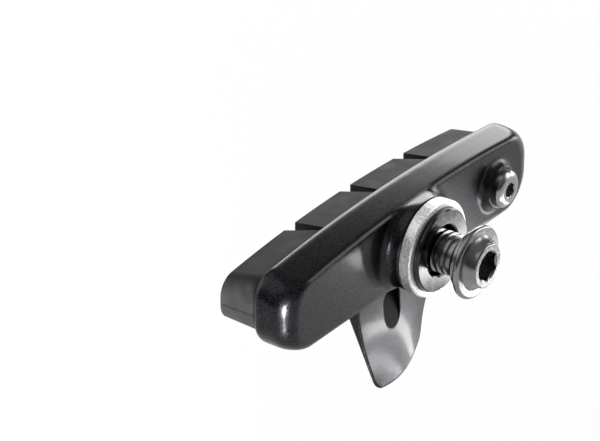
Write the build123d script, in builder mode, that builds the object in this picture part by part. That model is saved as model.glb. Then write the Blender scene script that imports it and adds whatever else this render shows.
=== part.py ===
from build123d import *
from math import sqrt
import os

os.makedirs("parts", exist_ok=True)

# Road bicycle rim brake shoe: a cast holder with a wheel-guide fin, a rubber pad and its fixings.
# Millimetres. X runs along the shoe towards the pad screw, Y runs along the fixing bolt towards the
# wheel rim and Z is up. The origin is on the bolt's axis, in the washer face that the brake arm meets.

# Holder: a cast body with a channel for the pad, open at the pad-screw end
nose_end = -29.1          # closed end
tail_reach = 1.3          # screw end beyond the pad
holder_top = 7.25         # crown of the arched upper edge at the lip, above the bolt's axis
holder_bottom = 5.65      # lower edge below the bolt's axis
arch_radius = 250.0       # the upper edge follows the wheel rim
back_top = 6.55           # crown of the upper edge at the back panel
back_arch_radius = 220.0
back_crown_x = 5.0        # the back panel is lower at the nose
nose_corner = 4.2         # corner radius of the closed end, seen from behind
tail_corner = 4.8         # corner radius of the screw end, seen from behind
nose_round = 2.6          # closed end rounded on to the back, seen from above
tail_round = 3.4          # screw end rounded on to the back, seen from above
back_edge = 0.55          # rounding round the back panel
lip_edge = 1.2            # rounding of the lip beside the pad
lip_end_edge = 0.6        # the same at the two ends
body_depth = 5.6          # lip to back panel
side_wall = 1.3           # wall above and below the pad's flange
lip_reach = 0.6           # how far the lip grips over the flange
lip_thickness = 1.2       # lip, along the bolt
channel_depth = 3.2       # mouth of the channel to its floor

# Central boss that carries the washers
boss_height = 2.2         # back panel to washer seat
boss_seat_inset = 0.1     # washer seat inside the washer's rim
boss_root = 2.0           # depth of its root inside the body
boss_root_flat = 0.6      # half the straight side left between its corners at the back panel
boss_seat_flat = 0.1      # the same at the seat, which is all but round
boss_fillet = 1.45        # hollow between boss and back panel

# Pad: rubber blocks on a flange that slides in the channel
pad_tail = 28.7           # end of the pad towards the open end of the channel
pad_nose_gap = 1.25       # blocks short of the holder's closed end
pad_proud = 6.4           # friction face beyond the holder's lip
pad_gap = 0.1             # flange to channel, all round
neck_gap = 0.7            # neck to lip
groove_width = 0.45       # dark groove between lip and blocks
root_top_inset = 2.1      # blocks below the holder's upper edge at the groove
root_bottom_inset = 1.0   # blocks above the holder's lower edge at the groove
face_top_inset = 3.1      # friction face below the holder's upper edge
face_bottom_inset = 1.5   # friction face above the holder's lower edge
face_arch_radius = 215.0
flange_short = 0.8        # flange short of the pad at the open end
flange_corner = 2.6
pad_root_corner = 3.2
pad_corner = 2.8          # corner radius of the blocks, seen from the rim
slot_pitch = 12.87
slot_wall = 1.77          # straight wall of the middle slot from the bolt's axis
slot_mouth = 2.45         # width at the friction face
slot_floor = 0.9          # width at its rounded bottom
slot_rest = 0.7           # rubber left between slot and groove
slot_round = 0.4          # rounding of its bottom
strip_width = 1.1         # shallow strip along the groove on top of each block
strip_depth = 0.3
strip_end = 1.1           # rubber between strip and slot
strip_round = 0.6

# Fixing bolt
bolt_core = 5.35          # shank, measured at the thread's pitch line
bolt_clearance = 0.05     # shank to threaded hole, on the radius
bolt_mouth = 6.4          # thread relief at the mouth of the hole
bolt_mouth_depth = 1.0
bolt_chamfer = 0.6
flange_diameter = 10.45
flange_thickness = 0.95
hub_diameter = 7.8        # root of the raised hub on the flange
hub_hollow = 0.55
head_diameter = 6.35      # rim round the socket
head_height = 1.57        # rim above the flange
head_socket = 4.0         # across flats
socket_depth = 2.3
socket_chamfer = 0.3
head_edge = 0.25
flange_flat = 0.05        # half the straight rim left between its rounded edges
collar_diameter = 8.2
collar_height = 0.9
arm_grip = 3.93           # room for the brake arm between collar and washer
bolt_tip_gap = 0.6        # bolt's end short of the channel floor

# Washer pair with a spherical seat
washer_seat_radius = 12.0
washer_seat_gap = 0.05
concave_rim = 0.975       # concave washer beyond the convex one, on the radius
concave_height = 1.85
concave_bore = 8.4
convex_diameter = 11.95
convex_rim = 0.8          # straight rim of the convex washer
convex_bore = 7.4
washer_edge = 0.2

# Pad screw
screw_inset = 8.7         # screw before the pad's end
screw_core = 2.65         # shank, measured at the thread's pitch line
screw_clearance = 0.05
screw_head_diameter = 5.4
screw_head_height = 1.45
screw_crown = 3.3         # flat top of the button head, across
screw_socket = 2.0
screw_socket_depth = 1.1
screw_reach = 1.4         # tip inside the pad
screw_tip_gap = 0.3
screw_chamfer = 0.3
screw_rim = 0.85          # straight rim of the head
screw_dome_rise = 0.14    # bulge of the head between rim and top
screw_socket_chamfer = 0.2
screw_recess = 3.4        # hole in the pad for the tip
screw_boss_diameter = 6.4
screw_boss_flare = 1.1    # hollow flare round the screw boss
screw_boss_height = 1.15

# Wheel-guide fin under the holder: a twisted plate that flares away from the rim, most at the nose side
fin_nose = -12.4          # edge towards the closed end
fin_tail = 10.6           # edge towards the screw end
fin_bottom = 18.0         # lowest point of the bowed lower edge below the bolt's axis
fin_tip = 17.0            # ends of the lower edge
fin_nose_slope = 0.3      # the nose edge leans in by this much at the bottom
fin_tail_slope = 7.0      # the tail edge leans in by this much
fin_tip_corner = 1.5
fin_tail_corner = 3.2
fin_nose_root = 5.4       # bolt side at the holder, nose edge
fin_nose_middle = 4.3     # bolt side half way down
fin_nose_foot = 1.4       # bolt side at the lower edge
fin_tail_root = 6.6       # the same three at the tail edge
fin_tail_middle = 7.3
fin_tail_foot = 9.1
fin_bow = 1.36            # the lower edge bows towards the bolt by this much half way
fin_root_thickness = 2.6
fin_foot_thickness = 0.7
fin_hole = 4.4            # width of the upright oval hole
fin_hole_height = 6.2
fin_hole_x = -3.7
fin_hole_z = -8.9
fin_sink = 0.8            # root inside the holder
fin_flat = 0.15           # half the flat left between the rounded edges at the foot

# Lengths worked out from the sizes above
tail_end = pad_tail + tail_reach
channel_end = tail_end + side_wall
flange_tail = pad_tail - flange_short
screw_x = pad_tail - screw_inset
concave_diameter = convex_diameter + 2 * concave_rim
boss_seat = concave_diameter - 2 * boss_seat_inset
boss_root_corner = (back_top + holder_bottom) / 2 - boss_root_flat
boss_seat_corner = boss_seat / 2 - boss_seat_flat
flange_edge = flange_thickness / 2 - flange_flat
fin_edge = fin_foot_thickness / 2 - fin_flat
strip_length = slot_pitch - slot_floor - 2 * strip_end

# Heights along the bolt, worked out from the sizes above
concave_front = convex_rim
boss_face = concave_front + concave_height
back_face = boss_face + boss_height
lip_face = back_face + body_depth
friction_face = lip_face + pad_proud
channel_floor = lip_face - channel_depth
lip_inside = lip_face - lip_thickness
block_root = lip_face + groove_width
fin_top = fin_sink - holder_bottom
body_heights = [0, back_edge * 0.3, back_edge, nose_round * 0.4, nose_round * 0.7, nose_round,
                body_depth - lip_edge, body_depth - lip_edge * 0.3, body_depth]
boss_heights = [-boss_root, 0, boss_fillet * 0.15, boss_fillet * 0.4, boss_fillet, boss_height]
screw_seat = back_face - screw_boss_height
flange_back = -arm_grip - collar_height
flange_front = flange_back - flange_thickness
head_face = flange_front - head_height
seat_centre = convex_rim - sqrt(washer_seat_radius ** 2 - (convex_diameter / 2) ** 2)
bolt_tip = channel_floor - bolt_tip_gap
bolt_axis = Axis((0, 0, 0), (0, 1, 0))
screw_axis = Axis((screw_x, 0, 0), (0, 1, 0))


def across(y):
    """Plane square to the bolt at height y, with X to the right and Z up."""
    return Plane.XZ.offset(-y)


def arched_outline(y, left, right, top, bottom, radius, left_corner, right_corner, crown_x=0):
    """Long outline at height y with an arched upper edge, a straight lower edge and rounded ends."""
    def crown(x):
        return top - radius + sqrt(radius ** 2 - (x - crown_x) ** 2)

    with BuildSketch(across(y)) as outline:
        with BuildLine():
            ThreePointArc((left, crown(left)), (crown_x, top), (right, crown(right)))
            Polyline((right, crown(right)), (right, bottom), (left, bottom), (left, crown(left)))
        make_face()
        fillet(outline.vertices().group_by(Axis.X)[0], left_corner)
        fillet(outline.vertices().group_by(Axis.X)[-1], right_corner)
    return outline.sketch


def inset_outline(y, inset, right, right_corner):
    """The holder's outline at its lip, drawn in all round, at height y and ending at right."""
    return arched_outline(y, nose_end + inset, right, holder_top - inset, inset - holder_bottom,
                          arch_radius - inset, nose_corner - inset, right_corner)


def rounding(depth, radius):
    """How far a rounded edge stands in at a depth below its flat face."""
    if depth >= radius:
        return 0
    return radius - sqrt(radius ** 2 - (radius - depth) ** 2)


def body_section(height):
    """Outline of the holder's body at a height above the back panel."""
    rise = height / body_depth
    lip = rounding(body_depth - height, lip_edge)
    end = rounding(body_depth - height, lip_end_edge)
    edge = rounding(height, back_edge) + lip
    return arched_outline(back_face + height,
                          nose_end + rounding(height, nose_round) + end,
                          tail_end - rounding(height, tail_round) - end,
                          back_top + (holder_top - back_top) * rise - edge,
                          edge - holder_bottom,
                          back_arch_radius + (arch_radius - back_arch_radius) * rise,
                          nose_corner - edge, tail_corner - edge, back_crown_x * (1 - rise))


def boss_section(height):
    """Outline of the central boss at a height above the back panel, hollow at its foot."""
    rise = max(height, 0) / boss_height
    half = boss_seat / 2 + rounding(max(height, 0), boss_fillet)
    corner = boss_root_corner + (boss_seat_corner - boss_root_corner) * rise
    return arched_outline(back_face - height, -half, half, back_top + (boss_seat / 2 - back_top) * rise,
                          -holder_bottom - (boss_seat / 2 - holder_bottom) * rise,
                          back_arch_radius, corner, corner, back_crown_x * (1 - rise))


def fin_profile(x, root, middle, foot):
    """Section of the fin at x: hollow on the bolt side, straight on the rim side, thinner downwards."""
    with BuildSketch(Plane.YZ.offset(x)) as profile:
        with BuildLine():
            hollow = ThreePointArc((root, fin_top), (middle, (fin_top - fin_bottom) / 2), (foot, -fin_bottom))
            Polyline(hollow @ 1, (foot + fin_foot_thickness, -fin_bottom),
                     (root + fin_root_thickness, fin_top), hollow @ 0)
        make_face()
    return profile.sketch


with BuildPart() as fin:
    loft([fin_profile(fin_nose, fin_nose_root, fin_nose_middle, fin_nose_foot),
          fin_profile((fin_nose + fin_tail) / 2, (fin_nose_root + fin_tail_root) / 2,
                      (fin_nose_middle + fin_tail_middle) / 2, (fin_nose_foot + fin_tail_foot) / 2 - fin_bow),
          fin_profile(fin_tail, fin_tail_root, fin_tail_middle, fin_tail_foot)])
    with BuildSketch(across(lip_face)) as fin_outline:
        with BuildLine():
            sides = Polyline((fin_nose + fin_nose_slope, -fin_tip), (fin_nose, fin_top), (fin_nose, 0),
                             (fin_tail, 0), (fin_tail, fin_top), (fin_tail - fin_tail_slope, -fin_tip))
            middle = (sides @ 0 + sides @ 1) / 2
            ThreePointArc(sides @ 1, (middle.X, -fin_bottom), sides @ 0)
        make_face()
        fillet(fin_outline.vertices().sort_by_distance(sides @ 0)[0], fin_tip_corner)
        fillet(fin_outline.vertices().sort_by_distance(sides @ 1)[0], fin_tail_corner)
    extrude(amount=lip_face, mode=Mode.INTERSECT)
    with BuildSketch(across(lip_face)):
        with Locations((fin_hole_x, fin_hole_z)):
            SlotOverall(fin_hole_height, fin_hole, rotation=90)
    extrude(amount=lip_face, mode=Mode.SUBTRACT)
    # Rounded along its free edge, on both sides
    fin_sides = fin.faces().sort_by(SortBy.AREA)[-2:]
    fillet([edge for side in fin_sides for edge in side.outer_wire().edges()
            if edge.center().Z < fin_top - fin_sink], fin_edge)

with BuildPart() as shoe_holder:
    # Body: one smooth surface from the back panel to the lip
    loft([body_section(height) for height in body_heights])

    # Boss: from the body's own height to the round washer seat
    loft([boss_section(height) for height in boss_heights])
    add(fin.part)

    # Screw boss: a low cylinder with a hollow flare
    with BuildSketch(Plane.XY):
        with BuildLine():
            foot = screw_x + screw_boss_diameter / 2 + screw_boss_flare
            rise = Line((screw_x, screw_seat), (foot - screw_boss_flare, screw_seat))
            wall = Line(rise @ 1, (foot - screw_boss_flare, back_face - screw_boss_flare))
            hollow = ThreePointArc(wall @ 1, (foot - screw_boss_flare * sqrt(0.5), back_face
                                              - screw_boss_flare * (1 - sqrt(0.5))), (foot, back_face))
            Polyline(hollow @ 1, (foot, back_face + boss_root), (screw_x, back_face + boss_root), rise @ 0)
        make_face()
    revolve(axis=screw_axis)

    # Channel for the pad, open at the screw end, with a lip above and below
    extrude(inset_outline(lip_inside, side_wall, channel_end, pad_gap),
            amount=channel_depth - lip_thickness, mode=Mode.SUBTRACT)
    extrude(inset_outline(block_root, side_wall + lip_reach, channel_end, pad_gap),
            amount=groove_width + lip_thickness, mode=Mode.SUBTRACT)

    # Threaded holes, drawn at the pitch line
    with Locations(Plane((0, boss_face, 0), x_dir=(1, 0, 0), z_dir=(0, -1, 0))):
        CounterBoreHole(bolt_core / 2 + bolt_clearance, bolt_mouth / 2, bolt_mouth_depth)
    with Locations(Plane((screw_x, screw_seat, 0), x_dir=(1, 0, 0), z_dir=(0, -1, 0))):
        Hole(screw_core / 2 + screw_clearance)

# What is cut from the blocks for the strips: all that stands above an outline drawn in a little
with BuildPart() as strips:
    with BuildSketch(Plane.XY) as strip:
        with Locations([(slot_wall - slot_floor / 2 + place * slot_pitch, block_root)
                        for place in (-1.5, -0.5, 0.5, 1.5)]):
            Rectangle(strip_length, strip_width, align=(Align.CENTER, Align.MIN))
        fillet(strip.vertices().group_by(Axis.Y)[-1], strip_round)
    extrude(amount=holder_top)
    extrude(arched_outline(friction_face, nose_end, tail_end, holder_top - root_top_inset - strip_depth,
                           -holder_bottom, arch_radius, pad_corner, pad_corner),
            amount=friction_face, mode=Mode.SUBTRACT)

with BuildPart() as brake_pad:
    # Flange in the channel and neck between the lips
    extrude(inset_outline(lip_inside - pad_gap, side_wall + pad_gap, flange_tail, flange_corner),
            amount=channel_depth - lip_thickness - 2 * pad_gap)
    extrude(inset_outline(block_root, side_wall + lip_reach + neck_gap, flange_tail, flange_corner),
            amount=groove_width + lip_thickness + pad_gap)
    # Blocks, narrower at the friction face
    loft([arched_outline(block_root, nose_end + pad_nose_gap, pad_tail, holder_top - root_top_inset,
                         root_bottom_inset - holder_bottom, arch_radius, pad_root_corner, pad_root_corner),
          arched_outline(friction_face, nose_end + pad_nose_gap, pad_tail, holder_top - face_top_inset,
                         face_bottom_inset - holder_bottom, face_arch_radius, pad_corner, pad_corner)])
    # Slots: one wall square to the face, the other leaning, with a rounded bottom
    for place in (-1, 0, 1):
        wall = slot_wall + place * slot_pitch
        floor = block_root + slot_rest
        with BuildSketch(Plane.XY) as slot:
            with BuildLine():
                Polyline((wall, friction_face), (wall, floor), (wall - slot_floor, floor),
                         (wall - slot_mouth, friction_face), close=True)
            make_face()
            fillet(slot.vertices().group_by(Axis.Y)[0], slot_round)
        extrude(amount=holder_top, both=True, mode=Mode.SUBTRACT)
    add(strips.part, mode=Mode.SUBTRACT)
    with Locations(Plane((screw_x, channel_floor, 0), x_dir=(1, 0, 0), z_dir=(0, -1, 0))):
        Hole(screw_recess / 2, screw_reach + pad_gap + screw_tip_gap)

with BuildPart() as pad_screw:
    with BuildSketch(Plane.XY):
        with BuildLine():
            edge = screw_x + screw_head_diameter / 2
            tip = channel_floor + pad_gap + screw_reach
            crown = screw_seat - screw_head_height
            base = Line((screw_x, crown), (screw_x + screw_crown / 2, crown))
            dome = SagittaArc(base @ 1, (edge, screw_seat - screw_rim), -screw_dome_rise)
            Polyline(dome @ 1, (edge, screw_seat), (screw_x + screw_core / 2, screw_seat),
                     (screw_x + screw_core / 2, tip - screw_chamfer),
                     (screw_x + screw_core / 2 - screw_chamfer, tip), (screw_x, tip), base @ 0)
        make_face()
    revolve(axis=screw_axis)
    with BuildSketch(across(crown)):
        with Locations((screw_x, 0)):
            hexagon = RegularPolygon(screw_socket / 2, 6, major_radius=False, rotation=30)
    extrude(amount=-screw_socket_depth, mode=Mode.SUBTRACT)
    with BuildSketch(across(crown)):
        with Locations((screw_x, 0)):
            Circle(hexagon.radius)
    extrude(amount=-screw_socket_chamfer, taper=45, mode=Mode.SUBTRACT)

with BuildPart() as concave_washer:
    with BuildSketch(Plane.XY):
        with Locations(((concave_diameter + concave_bore) / 4, concave_front + concave_height / 2)):
            Rectangle((concave_diameter - concave_bore) / 2, concave_height)
        with Locations((0, seat_centre)):
            Circle(washer_seat_radius + washer_seat_gap, mode=Mode.SUBTRACT)
    revolve(axis=bolt_axis)
    outer_rim = concave_washer.faces().filter_by(GeomType.CYLINDER).sort_by(SortBy.RADIUS)[-1]
    chamfer(outer_rim.edges(), washer_edge)

with BuildPart() as convex_washer:
    with BuildSketch(Plane.XY):
        with Locations((0, seat_centre)):
            Circle(washer_seat_radius)
        with Locations(((convex_diameter + convex_bore) / 4, washer_seat_radius / 2)):
            Rectangle((convex_diameter - convex_bore) / 2, washer_seat_radius, mode=Mode.INTERSECT)
    revolve(axis=bolt_axis)
    chamfer(convex_washer.faces().sort_by(Axis.Y)[0].edges(), washer_edge)

with BuildPart() as fixing_bolt:
    with BuildSketch(Plane.XY):
        with BuildLine():
            rim = Line((0, head_face), (head_diameter / 2, head_face))
            hub = ThreePointArc(rim @ 1, (hub_diameter / 2 - hub_hollow, (head_face + flange_front) / 2),
                                (hub_diameter / 2, flange_front))
            Polyline(hub @ 1, (flange_diameter / 2, flange_front), (flange_diameter / 2, flange_back),
                     (collar_diameter / 2, flange_back), (collar_diameter / 2, flange_back + collar_height),
                     (bolt_core / 2, flange_back + collar_height), (bolt_core / 2, bolt_tip - bolt_chamfer),
                     (bolt_core / 2 - bolt_chamfer, bolt_tip), (0, bolt_tip), rim @ 0)
        make_face()
    revolve(axis=bolt_axis)
    fillet(fixing_bolt.faces().filter_by(GeomType.CYLINDER).sort_by(SortBy.RADIUS)[-1].edges(), flange_edge)
    fillet(fixing_bolt.edges().group_by(Axis.Y)[0], head_edge)
    with BuildSketch(across(head_face)):
        hexagon = RegularPolygon(head_socket / 2, 6, major_radius=False, rotation=30)
    extrude(amount=-socket_depth, mode=Mode.SUBTRACT)
    with BuildSketch(across(head_face)):
        Circle(hexagon.radius)
    extrude(amount=-socket_chamfer, taper=45, mode=Mode.SUBTRACT)

for piece, name in ((shoe_holder, "shoe_holder"), (brake_pad, "brake_pad"), (pad_screw, "pad_screw"),
                    (concave_washer, "concave_washer"), (convex_washer, "convex_washer"),
                    (fixing_bolt, "fixing_bolt")):
    piece.part.label = name
    export_step(piece.part, f"parts/{name}.step")
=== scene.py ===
import math

import bmesh
import bpy
from mathutils import Matrix, Vector


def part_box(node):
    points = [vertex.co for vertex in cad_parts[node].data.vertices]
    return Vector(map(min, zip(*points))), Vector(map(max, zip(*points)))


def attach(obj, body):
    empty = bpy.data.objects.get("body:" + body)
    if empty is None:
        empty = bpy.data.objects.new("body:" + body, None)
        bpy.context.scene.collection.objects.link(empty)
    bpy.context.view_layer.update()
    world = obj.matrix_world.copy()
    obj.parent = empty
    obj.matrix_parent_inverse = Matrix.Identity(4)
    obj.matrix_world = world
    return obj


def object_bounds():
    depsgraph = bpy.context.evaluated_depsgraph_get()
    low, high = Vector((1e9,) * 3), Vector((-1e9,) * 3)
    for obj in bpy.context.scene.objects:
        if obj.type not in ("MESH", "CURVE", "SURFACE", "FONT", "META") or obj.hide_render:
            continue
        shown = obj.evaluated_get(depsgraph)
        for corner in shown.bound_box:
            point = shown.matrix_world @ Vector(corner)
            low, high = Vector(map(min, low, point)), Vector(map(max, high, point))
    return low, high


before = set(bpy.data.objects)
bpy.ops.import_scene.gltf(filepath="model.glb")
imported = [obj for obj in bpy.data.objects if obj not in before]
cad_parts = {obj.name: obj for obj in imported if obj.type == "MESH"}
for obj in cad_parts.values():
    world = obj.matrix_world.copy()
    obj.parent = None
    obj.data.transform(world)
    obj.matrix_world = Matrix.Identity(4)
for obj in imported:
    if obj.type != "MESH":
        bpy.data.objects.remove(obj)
cad_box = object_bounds()

MM = 0.001

# The photograph's view: where the bolt's axis meets the arm seat in the picture, and from how far off
IMAGE_WIDTH, IMAGE_HEIGHT = 600, 441
VIEW_AZIMUTH = math.radians(-53.7)
VIEW_ELEVATION = math.radians(28.65)
VIEW_DISTANCE = 486 * MM
FOCAL_PIXELS = 3572.0
ORIGIN_PIXEL = (443.1, 250.9)
SENSOR_WIDTH = 36.0
CLIP_NEAR, CLIP_FAR = 0.01, 20

# Thread of the fixing bolt, an M6 with a pitch of one millimetre
THREAD_PITCH = 1.0 * MM
THREAD_CREST = 3.0 * MM
THREAD_ROOT = 2.6 * MM
THREAD_START = -3.75 * MM
THREAD_END = 3.0 * MM
THREAD_STEPS = 48
THREAD_FLAT = 0.22           # half the crest's flat, in pitches
THREAD_FOOT = 0.48           # half the ridge's width at the root, in pitches
THREAD_RUN_OUT = 0.25        # turns over which the ridge grows at each end
THREAD_LEAST = 0.05          # share of its height that the ridge starts with

# Recess in the fin: an upright oval, and its floor as a plane through its middle
RECESS_X, RECESS_Z = -3.7 * MM, -8.9 * MM
RECESS_RADIUS = 2.28 * MM
RECESS_STRAIGHT = 0.9 * MM
RECESS_FLOOR = 6.8 * MM
RECESS_LEAN_X, RECESS_LEAN_Z = 0.12, 0.36
RECESS_SKIN = 0.4 * MM
RECESS_STEPS = 64
RECESS_RINGS = (0.0, 0.97), (0.12, 1.0), (1.0, 1.0)     # share of the skin's depth and of the radius

# Parting line across the pad's closed end
SEAM_X, SEAM_Z = -27.85 * MM, -1.2 * MM
SEAM_FROM, SEAM_TO = 10.95 * MM, 16.7 * MM
SEAM_RADIUS = 0.11 * MM
SEAM_ROOT = 0.06 * MM        # how far it reaches into the rubber
SEAM_STEPS = 12
SEAM_SIDES = 8
SEAM_END, SEAM_TAPER = 0.25, 9     # thickness at its ends, and its growth over the length, in radii

# Soft edges of the holder: wide on its body, narrow on the fin below
EDGE_RADIUS = 0.8 * MM
FIN_EDGE_RADIUS = 0.35 * MM
FIN_TOP = -5.8 * MM
EDGE_SAMPLES = 8

# Finishes: dark and light tone, least and most roughness, and specks to the metre
HOLDER = (0.003, 0.0031, 0.0036), (0.026, 0.027, 0.0305), 0.28, 0.38, 4000
HOLDER_COAT, HOLDER_COAT_ROUGHNESS = 0.22, 0.11
# The recess floor's tone is painted shade, darker than the holder's own finish
RECESS_PAINTED_SHADE = (0.003, 0.003, 0.0034), (0.014, 0.0144, 0.0156), 0.6, 0.75, 3000
ALLOY = (0.45, 0.45, 0.45), (0.95, 0.95, 0.94), 0.42, 0.58, 3600
SCREW = (0.23, 0.23, 0.233), (0.3, 0.3, 0.303), 0.2, 0.27, 700
WASHER = (0.036, 0.036, 0.037), (0.058, 0.058, 0.06), 0.15, 0.21, 700
BOLT = (0.17, 0.17, 0.175), (0.235, 0.235, 0.241), 0.23, 0.29, 500
RUBBER_DARK, RUBBER_LIGHT = (0.012, 0.012, 0.0125), (0.022, 0.022, 0.023)
RUBBER_SMOOTH, RUBBER_ROUGH = 0.52, 0.64
RUBBER_SPECKS, RUBBER_DETAIL = 420, 5.0
RUBBER_SHEEN = 0.1
LATHE_RINGS, LATHE_WAVER, LATHE_DETAIL = 900, 0.6, 2.0
NOISE_DETAIL, NOISE_ROUGHNESS = 3.0, 0.55
NOISE_LOW, NOISE_HIGH = 0.3, 0.7     # the part of a noise that is spread over a range

# Grains: noise to the metre, its detail, strength of the bump and its depth
HOLDER_GRAIN = 5200, 2.0, 0.1, 0.02 * MM
RECESS_GRAIN = 3600, 3.0, 0.4, 0.05 * MM
RUBBER_GRAIN = 6500, 3.0, 0.22, 0.03 * MM
ALLOY_GRAIN = 3600, 4.0, 0.9, 0.08 * MM
BOLT_GRAIN = 2600, 2.0, 0.03, 0.01 * MM
LATHE_STRENGTH, LATHE_DEPTH = 0.05, 0.01 * MM

# Studio: a pale floor, and a world that is darker low down
FLOOR_SIZE = 3.0
FLOOR_DROP = 30 * MM
FLOOR_COLOUR = 0.9, 0.9, 0.9, 1
FLOOR_ROUGHNESS = 0.9
FLOOR_WHITE = 0.92           # share of plain white that the camera and the metal see
WORLD_LOW = 0.06, 0.06, 0.065, 1
WORLD_HIGH = 0.38, 0.38, 0.39, 1

# Lamps: place, target, width and height in metres, power in watts and spread in degrees
LAMPS = {
    "right_front": ((0.46, -0.39, 0.23), (0, 0, 0), 0.3, 0.42, 1.8, 180),
    "panel_strip": ((0.029, -0.018, -0.0186), (0.029, 0.1, 0.085), 0.0235, 0.0032, 0.0034, 180),
    "fin_strip": ((0.0405, -0.0145, -0.0272), (-0.001, 0.0055, -0.012), 0.02, 0.003, 0.0036, 180),
    "nose_strip": ((-0.0957, -0.042, -0.0155), (-0.0567, 0.05, -0.0055), 0.034, 0.064, 0.38, 73),
    "low_right": ((0.45, -0.14, 0.03), (0, 0, -0.01), 0.25, 0.14, 0.7, 180),
    "back_right": ((0.6, 0.44, 0.23), (0.02, 0.005, 0), 0.45, 0.36, 2.9, 180),
    "rim_fill": ((-0.25, 0.65, 0.25), (0, 0.01, 0), 0.7, 0.5, 2.2, 180),
    "overhead": ((-0.25, 0.25, 0.55), (0, 0, 0), 0.6, 0.6, 1.0, 180),
}


def node_material(name):
    """A new material, with its node tree and its principled shader."""
    material = bpy.data.materials.new(name)
    material.use_nodes = True
    return material, material.node_tree, material.node_tree.nodes["Principled BSDF"]


def add_node(tree, kind, **values):
    """A shader node with its properties and unlinked sockets set by name."""
    made = tree.nodes.new(kind)
    for key, value in values.items():
        if hasattr(made, key):
            setattr(made, key, value)
        else:
            made.inputs[key.replace("_", " ").title()].default_value = value
    return made


def object_noise(tree, scale, detail=NOISE_DETAIL):
    """Noise fixed to the piece, with its grain about one over scale metres wide."""
    place = tree.nodes.new("ShaderNodeTexCoord")
    noise = add_node(tree, "ShaderNodeTexNoise", scale=scale, detail=detail, roughness=NOISE_ROUGHNESS)
    tree.links.new(place.outputs["Object"], noise.inputs["Vector"])
    return noise.outputs["Fac"]


def ranged(tree, factor, low, high):
    """A factor around one half spread between two values."""
    spread = tree.nodes.new("ShaderNodeMapRange")
    spread.inputs["From Min"].default_value = NOISE_LOW
    spread.inputs["From Max"].default_value = NOISE_HIGH
    spread.inputs["To Min"].default_value = low
    spread.inputs["To Max"].default_value = high
    tree.links.new(factor, spread.inputs["Value"])
    return spread.outputs["Result"]


def two_tone(tree, shader, factor, dark, light):
    """Base colour that wanders between two colours."""
    ramp = tree.nodes.new("ShaderNodeValToRGB")
    ramp.color_ramp.elements[0].position = NOISE_LOW
    ramp.color_ramp.elements[0].color = (*dark, 1)
    ramp.color_ramp.elements[1].position = NOISE_HIGH
    ramp.color_ramp.elements[1].color = (*light, 1)
    tree.links.new(factor, ramp.inputs["Fac"])
    tree.links.new(ramp.outputs["Color"], shader.inputs["Base Color"])


def grain(tree, shader, height, strength, depth):
    """Bump from a height, depth metres deep at full strength."""
    bump = tree.nodes.new("ShaderNodeBump")
    bump.inputs["Strength"].default_value = strength
    bump.inputs["Distance"].default_value = depth
    tree.links.new(height, bump.inputs["Height"])
    tree.links.new(bump.outputs["Normal"], shader.inputs["Normal"])
    return bump


def noise_grain(tree, shader, scale, detail, strength, depth):
    """Bump from a fine noise."""
    return grain(tree, shader, object_noise(tree, scale, detail), strength, depth)


def turned_rings(tree, centre_x):
    """Fine rings round an axis along Y, as a lathe leaves them."""
    place = tree.nodes.new("ShaderNodeTexCoord")
    shift = tree.nodes.new("ShaderNodeMapping")
    shift.inputs["Location"].default_value = (-centre_x, 0, 0)
    rings = add_node(tree, "ShaderNodeTexWave", wave_type="RINGS", rings_direction="Y",
                     scale=LATHE_RINGS, distortion=LATHE_WAVER, detail=LATHE_DETAIL)
    tree.links.new(place.outputs["Object"], shift.inputs["Vector"])
    tree.links.new(shift.outputs["Vector"], rings.inputs["Vector"])
    return rings.outputs["Fac"]


def metal(name, dark, light, smooth, rough, speckle):
    """Bare metal whose colour and gloss wander a little, with its tree and shader for more."""
    material, tree, shader = node_material(name)
    shader.inputs["Metallic"].default_value = 1.0
    wander = object_noise(tree, speckle)
    two_tone(tree, shader, wander, dark, light)
    tree.links.new(ranged(tree, wander, smooth, rough), shader.inputs["Roughness"])
    return material, tree, shader


def holder_finish():
    """Dark metallic finish of the cast holder, with a fine flake under a clear coat."""
    material, tree, shader = metal("holder_finish", *HOLDER)
    shader.inputs["Coat Weight"].default_value = HOLDER_COAT
    shader.inputs["Coat Roughness"].default_value = HOLDER_COAT_ROUGHNESS
    bump = noise_grain(tree, shader, *HOLDER_GRAIN)
    # The light runs softly round the edges, less so on the fin
    place = tree.nodes.new("ShaderNodeTexCoord")
    split = tree.nodes.new("ShaderNodeSeparateXYZ")
    radius = tree.nodes.new("ShaderNodeMapRange")
    radius.inputs["From Min"].default_value = FIN_TOP - EDGE_RADIUS
    radius.inputs["From Max"].default_value = FIN_TOP
    radius.inputs["To Min"].default_value = FIN_EDGE_RADIUS
    radius.inputs["To Max"].default_value = EDGE_RADIUS
    edge = add_node(tree, "ShaderNodeBevel", samples=EDGE_SAMPLES)
    tree.links.new(place.outputs["Object"], split.inputs["Vector"])
    tree.links.new(split.outputs["Z"], radius.inputs["Value"])
    tree.links.new(radius.outputs["Result"], edge.inputs["Radius"])
    tree.links.new(edge.outputs["Normal"], bump.inputs["Normal"])
    tree.links.new(edge.outputs["Normal"], shader.inputs["Coat Normal"])
    return material


def recess_painted_shade():
    """The floor of the recess, rough and darker than the holder's finish: painted shade in the recess."""
    material, tree, shader = metal("recess_painted_shade", *RECESS_PAINTED_SHADE)
    noise_grain(tree, shader, *RECESS_GRAIN)
    return material


def pad_rubber():
    """Black moulded rubber with a matte grain."""
    material, tree, shader = node_material("pad_rubber_grain")
    cloud = object_noise(tree, RUBBER_SPECKS, RUBBER_DETAIL)
    two_tone(tree, shader, cloud, RUBBER_DARK, RUBBER_LIGHT)
    tree.links.new(ranged(tree, cloud, RUBBER_SMOOTH, RUBBER_ROUGH), shader.inputs["Roughness"])
    shader.inputs["Specular IOR Level"].default_value = RUBBER_SHEEN
    noise_grain(tree, shader, *RUBBER_GRAIN)
    return material


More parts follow.
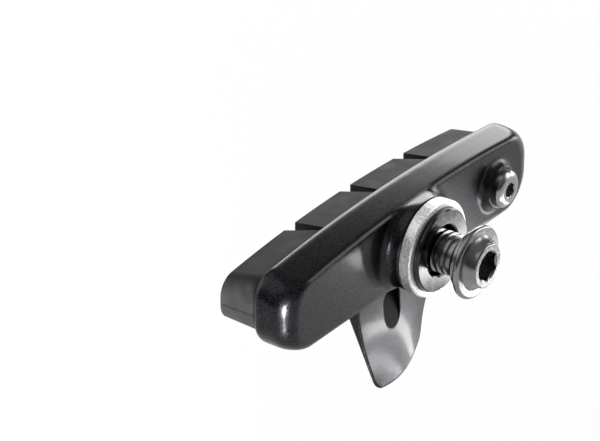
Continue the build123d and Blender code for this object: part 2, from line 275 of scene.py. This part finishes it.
def blasted_alloy():
    """Bright aluminium with a blasted grain."""
    material, tree, shader = metal("blasted_alloy", *ALLOY)
    noise_grain(tree, shader, *ALLOY_GRAIN)
    return material


def turned_steel(name, finish, centre_x):
    """Steel with the fine rings of a lathe round an axis along Y."""
    material, tree, shader = metal(name, *finish)
    grain(tree, shader, turned_rings(tree, centre_x), LATHE_STRENGTH, LATHE_DEPTH)
    return material


def polished_bolt():
    """Satin plated steel with faint smears."""
    material, tree, shader = metal("polished_bolt", *BOLT)
    noise_grain(tree, shader, *BOLT_GRAIN)
    return material


def finished(name, mesh):
    """An object from a closed mesh, with its normals outwards."""
    bmesh.ops.recalc_face_normals(mesh, faces=mesh.faces)
    data = bpy.data.meshes.new(name)
    mesh.to_mesh(data)
    mesh.free()
    made = bpy.data.objects.new(name, data)
    bpy.context.collection.objects.link(made)
    return made


def joined_rings(mesh, rings):
    """Faces between rings of the same number of corners, closed at both ends."""
    for one, two in zip(rings, rings[1:]):
        for side in range(len(one)):
            after = (side + 1) % len(one)
            mesh.faces.new((one[side], one[after], two[after], two[side]))
    mesh.faces.new(rings[0])
    mesh.faces.new(reversed(rings[-1]))


def helical_thread():
    """The bolt's thread: one ridge wound round the shank, closed at both ends."""
    turns = (THREAD_END - THREAD_START) / THREAD_PITCH - 1
    count = int(turns * THREAD_STEPS)
    run_out = THREAD_STEPS * THREAD_RUN_OUT
    mesh = bmesh.new()
    rings = []
    for step in range(count + 1):
        angle = 2 * math.pi * step / THREAD_STEPS
        middle = THREAD_START + THREAD_PITCH * (0.5 + step / THREAD_STEPS)
        grow = min(1.0, step / run_out, (count - step) / run_out)
        crest = THREAD_ROOT + (THREAD_CREST - THREAD_ROOT) * max(grow, THREAD_LEAST)
        outline = ((THREAD_ROOT, -THREAD_FOOT), (crest, -THREAD_FLAT),
                   (crest, THREAD_FLAT), (THREAD_ROOT, THREAD_FOOT))
        rings.append([mesh.verts.new((radius * math.cos(angle), middle + along * THREAD_PITCH,
                                      radius * math.sin(angle))) for radius, along in outline])
    joined_rings(mesh, rings)
    return finished("bolt_thread", mesh)


def recess_floor():
    """The floor of the fin's oval recess, set into the walls of the hole."""
    mesh = bmesh.new()
    rings = []
    for depth, grow in RECESS_RINGS:
        ring = []
        for step in range(RECESS_STEPS):
            angle = 2 * math.pi * (step + 0.5) / RECESS_STEPS
            x = RECESS_RADIUS * grow * math.cos(angle)
            z = RECESS_RADIUS * grow * math.sin(angle) + math.copysign(RECESS_STRAIGHT, math.sin(angle))
            y = RECESS_FLOOR + RECESS_LEAN_X * x + RECESS_LEAN_Z * z - RECESS_SKIN * (1 - depth)
            ring.append(mesh.verts.new((RECESS_X + x, y, RECESS_Z + z)))
        rings.append(ring)
    joined_rings(mesh, rings)
    return finished("recess_floor", mesh)


def parting_line():
    """The fine bead that the mould leaves across the pad's closed end."""
    mesh = bmesh.new()
    rings = []
    bends = [math.radians(-90 + 180 / SEAM_SIDES * part) for part in range(SEAM_SIDES + 1)]
    for step in range(SEAM_STEPS + 1):
        share = step / SEAM_STEPS
        size = SEAM_RADIUS * min(1.0, SEAM_END + SEAM_TAPER * share, SEAM_END + SEAM_TAPER * (1 - share))
        y = SEAM_FROM + (SEAM_TO - SEAM_FROM) * share
        bead = [(-size * math.cos(bend), size * math.sin(bend)) for bend in bends]
        outline = [(SEAM_ROOT, -size), *bead, (SEAM_ROOT, size)]
        rings.append([mesh.verts.new((SEAM_X + x, y, SEAM_Z + z)) for x, z in outline])
    joined_rings(mesh, rings)
    return finished("parting_line", mesh)


def make_floor(level):
    """A plain pale floor below the object."""
    half = FLOOR_SIZE / 2
    data = bpy.data.meshes.new("floor")
    data.from_pydata([(-half, -half, level), (half, -half, level), (half, half, level), (-half, half, level)],
                     [], [(0, 1, 2, 3)])
    floor = bpy.data.objects.new("floor", data)
    bpy.context.collection.objects.link(floor)
    material, tree, shader = node_material("pale_floor")
    shader.inputs["Base Color"].default_value = FLOOR_COLOUR
    shader.inputs["Roughness"].default_value = FLOOR_ROUGHNESS
    shader.inputs["Specular IOR Level"].default_value = 0.0
    path = tree.nodes.new("ShaderNodeLightPath")
    seen = add_node(tree, "ShaderNodeMath", operation="MAXIMUM")
    through = add_node(tree, "ShaderNodeMath", operation="MAXIMUM")
    share = add_node(tree, "ShaderNodeMath", operation="MULTIPLY")
    share.inputs[1].default_value = FLOOR_WHITE
    white = tree.nodes.new("ShaderNodeEmission")
    mix = tree.nodes.new("ShaderNodeMixShader")
    tree.links.new(path.outputs["Is Camera Ray"], seen.inputs[0])
    tree.links.new(path.outputs["Is Glossy Ray"], seen.inputs[1])
    tree.links.new(seen.outputs[0], through.inputs[0])
    tree.links.new(path.outputs["Is Transmission Ray"], through.inputs[1])
    tree.links.new(through.outputs[0], share.inputs[0])
    tree.links.new(share.outputs[0], mix.inputs["Fac"])
    tree.links.new(shader.outputs["BSDF"], mix.inputs[1])
    tree.links.new(white.outputs["Emission"], mix.inputs[2])
    tree.links.new(mix.outputs["Shader"], tree.nodes["Material Output"].inputs["Surface"])
    data.materials.append(material)


def softbox(name, place, target, width, height, power, spread):
    """A soft lamp at a place, turned to a target, with its light kept to a spread."""
    data = bpy.data.lights.new(name, "AREA")
    data.shape = "RECTANGLE"
    data.size, data.size_y = width, height
    data.energy = power
    data.spread = math.radians(spread)
    lamp = bpy.data.objects.new(name, data)
    lamp.location = place
    lamp.rotation_mode = "QUATERNION"
    lamp.rotation_quaternion = (Vector(target) - Vector(place)).to_track_quat("-Z", "Y")
    lamp.visible_camera = False
    bpy.context.collection.objects.link(lamp)


def make_world():
    """A studio that is darker low down and brighter overhead."""
    world = bpy.data.worlds.new("studio")
    world.use_nodes = True
    bpy.context.scene.world = world
    tree = world.node_tree
    place = tree.nodes.new("ShaderNodeTexCoord")
    split = tree.nodes.new("ShaderNodeSeparateXYZ")
    ramp = tree.nodes.new("ShaderNodeValToRGB")
    ramp.color_ramp.elements[0].position = 0.0
    ramp.color_ramp.elements[0].color = WORLD_LOW
    ramp.color_ramp.elements[1].position = 1.0
    ramp.color_ramp.elements[1].color = WORLD_HIGH
    tree.links.new(place.outputs["Generated"], split.inputs["Vector"])
    tree.links.new(split.outputs["Z"], ramp.inputs["Fac"])
    tree.links.new(ramp.outputs["Color"], tree.nodes["Background"].inputs["Color"])


def make_camera():
    """The photograph's camera, with the origin at its pixel."""
    right = Vector((math.cos(VIEW_AZIMUTH), math.sin(VIEW_AZIMUTH), 0))
    back = Vector((math.sin(VIEW_AZIMUTH) * math.cos(VIEW_ELEVATION),
                   -math.cos(VIEW_AZIMUTH) * math.cos(VIEW_ELEVATION), math.sin(VIEW_ELEVATION)))
    up = back.cross(right)
    across = (ORIGIN_PIXEL[0] - IMAGE_WIDTH / 2) / FOCAL_PIXELS
    above = (IMAGE_HEIGHT / 2 - ORIGIN_PIXEL[1]) / FOCAL_PIXELS
    eye = (back - right * across - up * above) * VIEW_DISTANCE
    data = bpy.data.cameras.new("photo_camera")
    data.sensor_fit = "HORIZONTAL"
    data.sensor_width = SENSOR_WIDTH
    data.lens = SENSOR_WIDTH * FOCAL_PIXELS / IMAGE_WIDTH
    data.clip_start, data.clip_end = CLIP_NEAR, CLIP_FAR
    camera = bpy.data.objects.new("photo_camera", data)
    camera.matrix_world = Matrix((right, up, back)).transposed().to_4x4()
    camera.location = eye
    bpy.context.collection.objects.link(camera)
    bpy.context.scene.camera = camera


screw_middle = (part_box("pad_screw")[0][0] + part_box("pad_screw")[1][0]) / 2
finishes = {
    "shoe_holder": holder_finish(),
    "brake_pad": pad_rubber(),
    "pad_screw": turned_steel("screw_steel_satin", SCREW, screw_middle),
    "concave_washer": blasted_alloy(),
    "convex_washer": turned_steel("washer_steel_dark", WASHER, 0),
    "fixing_bolt": polished_bolt(),
}
for node, finish in finishes.items():
    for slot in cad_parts[node].material_slots:
        slot.material = finish

for piece, finish, body, slot in ((helical_thread(), finishes["fixing_bolt"], "bolt", "bolt_steel"),
                                  (recess_floor(), recess_painted_shade(), "shoe", "holder_alloy"),
                                  (parting_line(), finishes["brake_pad"], "shoe", "pad_rubber")):
    piece.data.materials.append(finish)
    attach(piece, body)

make_floor(cad_box[0][2] - FLOOR_DROP)
make_world()
for lamp, values in LAMPS.items():
    softbox(lamp, *values)
make_camera()

bpy.context.scene.view_settings.view_transform = "Standard"
